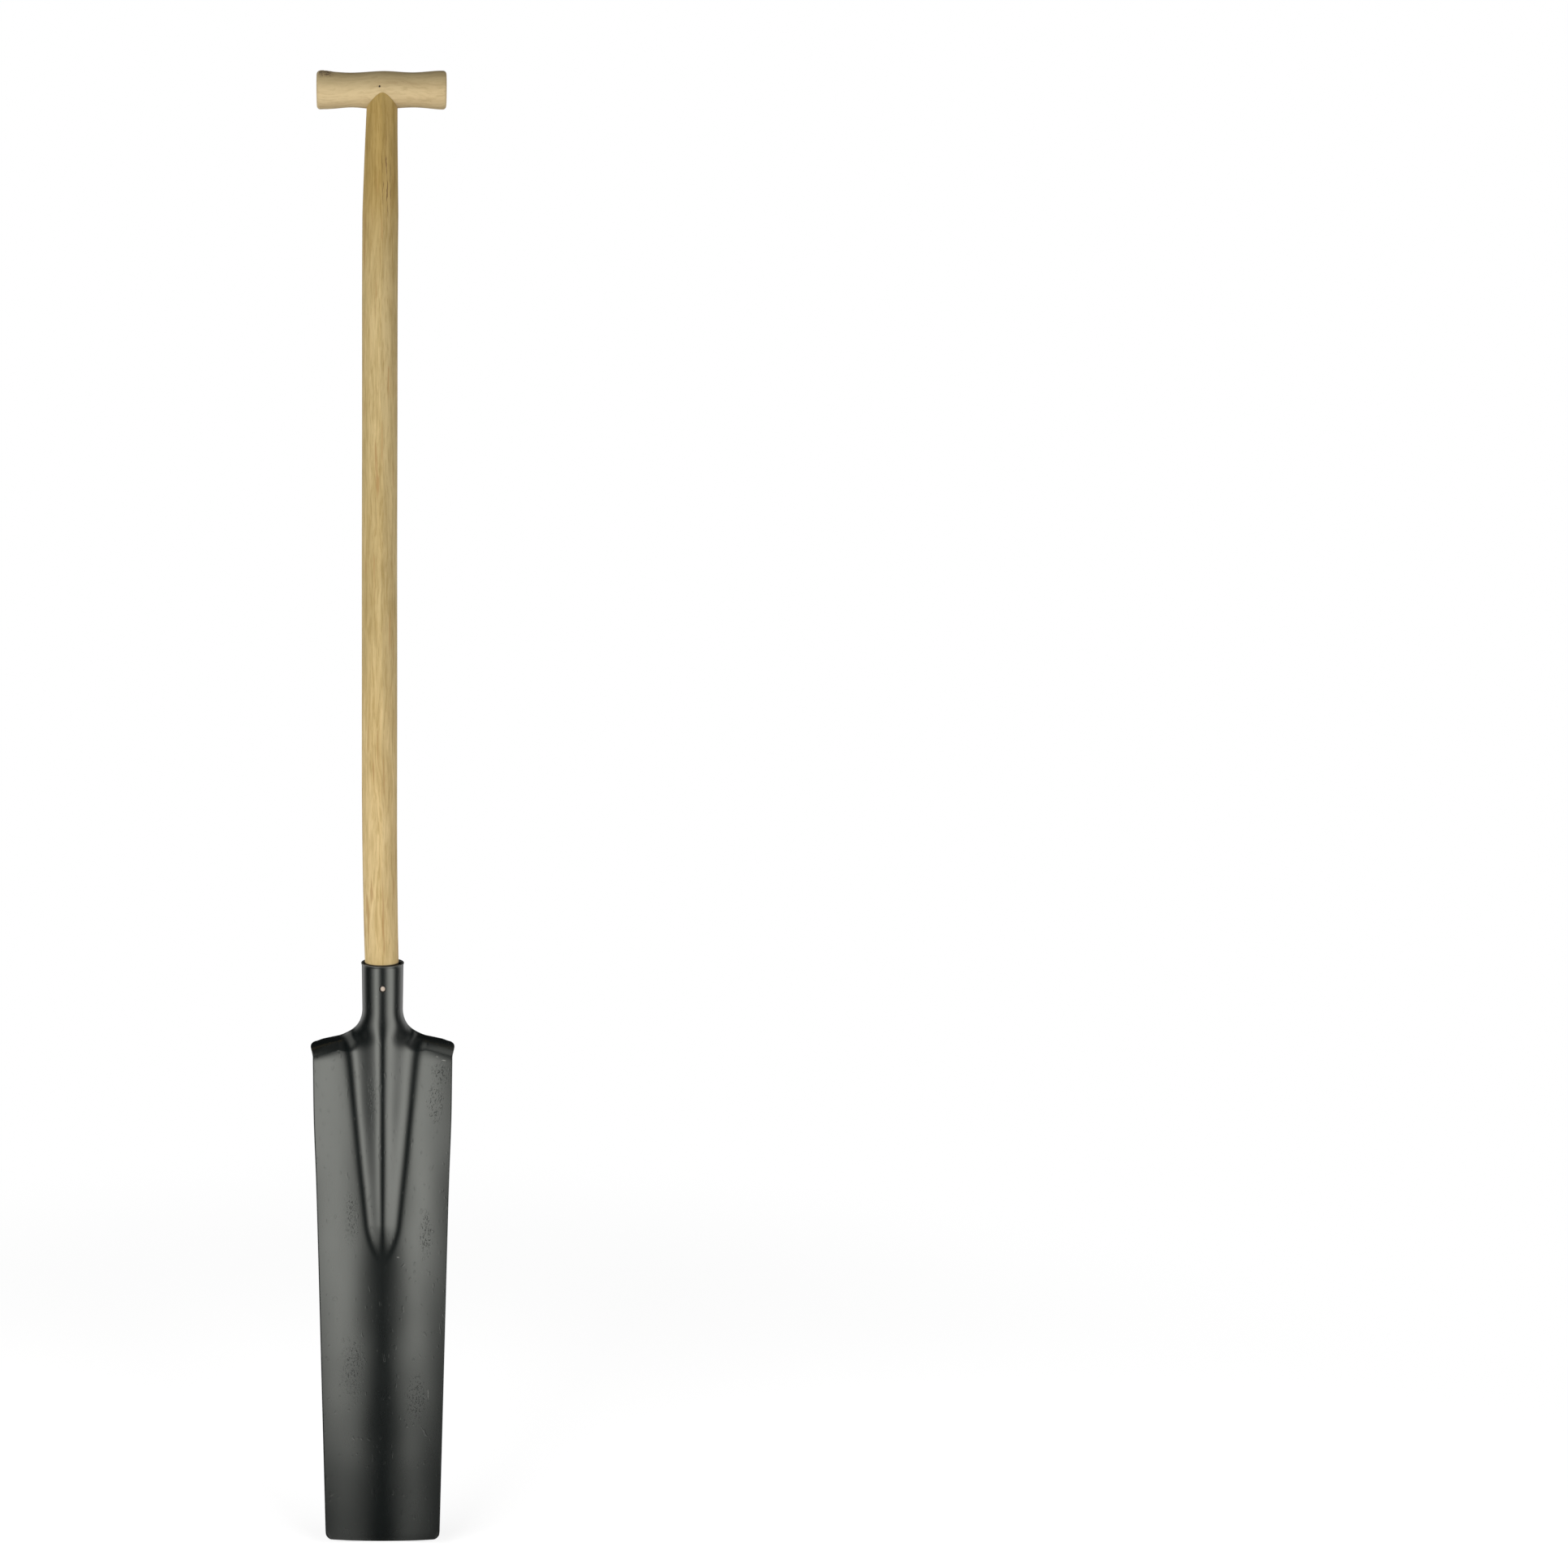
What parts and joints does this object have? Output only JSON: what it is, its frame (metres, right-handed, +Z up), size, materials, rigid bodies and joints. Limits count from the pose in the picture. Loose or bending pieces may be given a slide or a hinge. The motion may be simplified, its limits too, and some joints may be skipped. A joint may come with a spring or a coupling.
{
  "type": "trenching spade",
  "caption": "Long narrow spade for trenches: pressed steel head with rolled treads, ridge and round socket, wooden shaft and turned wooden cross grip.",
  "frame": {"origin": "middle of the cutting edge, in the middle of its thickness", "axes": "+Z up along the shaft, -Y the way the hollow face and the fixing hole look, +X along the grip"},
  "size_m": [0.1448, 0.0792, 1.4994],
  "materials": {
    "head_paint": "semi-gloss black paint on pressed sheet steel",
    "shaft_wood": "sanded pale hardwood, long grain, no varnish",
    "grip_wood": "turned pale hardwood, no varnish",
    "nail_steel": "dull bare steel"
  },
  "bodies": {
    "root": {"head": "head_paint", "shaft": "shaft_wood", "grip": "grip_wood", "grip_nail": "nail_steel"}
  },
  "joints": []
}
